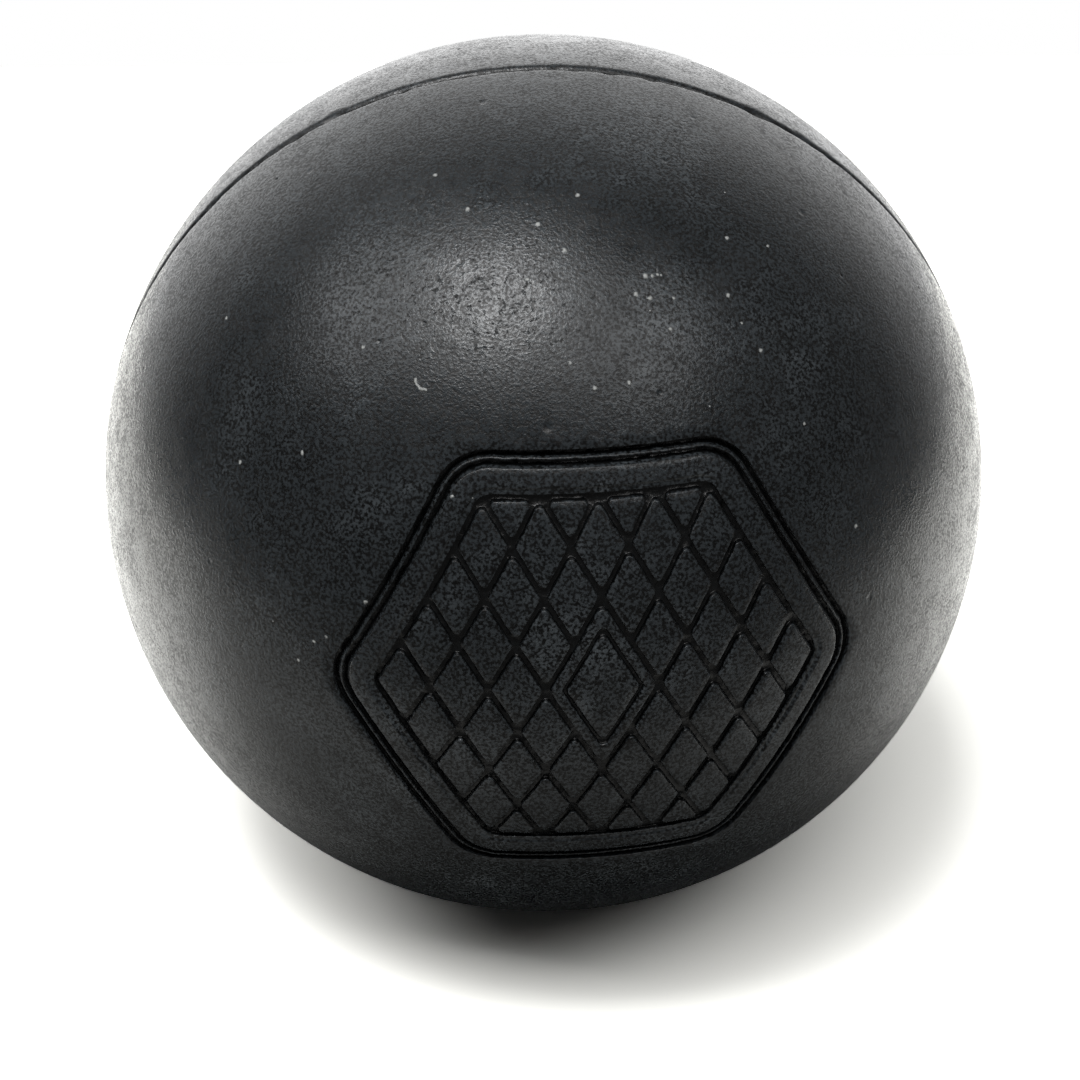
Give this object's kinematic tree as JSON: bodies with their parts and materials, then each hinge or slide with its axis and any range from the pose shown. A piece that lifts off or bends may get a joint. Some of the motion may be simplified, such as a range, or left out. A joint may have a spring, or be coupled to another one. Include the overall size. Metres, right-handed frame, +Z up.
{
  "type": "lacrosse ball",
  "caption": "Solid black rubber sports ball, moulded in halves that meet at a fine parting line, with a netted panel debossed on its front.",
  "frame": {"origin": "centre of the ball", "axes": "-Y out of the middle of the front half, through the parting line's pole; the parting line lies in the XZ plane; +X to the right seen from the front; +Z up, as the ball lies in the picture"},
  "size_m": [0.064, 0.0638, 0.064],
  "materials": {
    "ball_rubber": "matte",
    "flash_rubber": "matte"
  },
  "bodies": {
    "root": {"front_half": "ball_rubber", "rear_half": "ball_rubber", "seam_flash": "flash_rubber"}
  },
  "joints": []
}
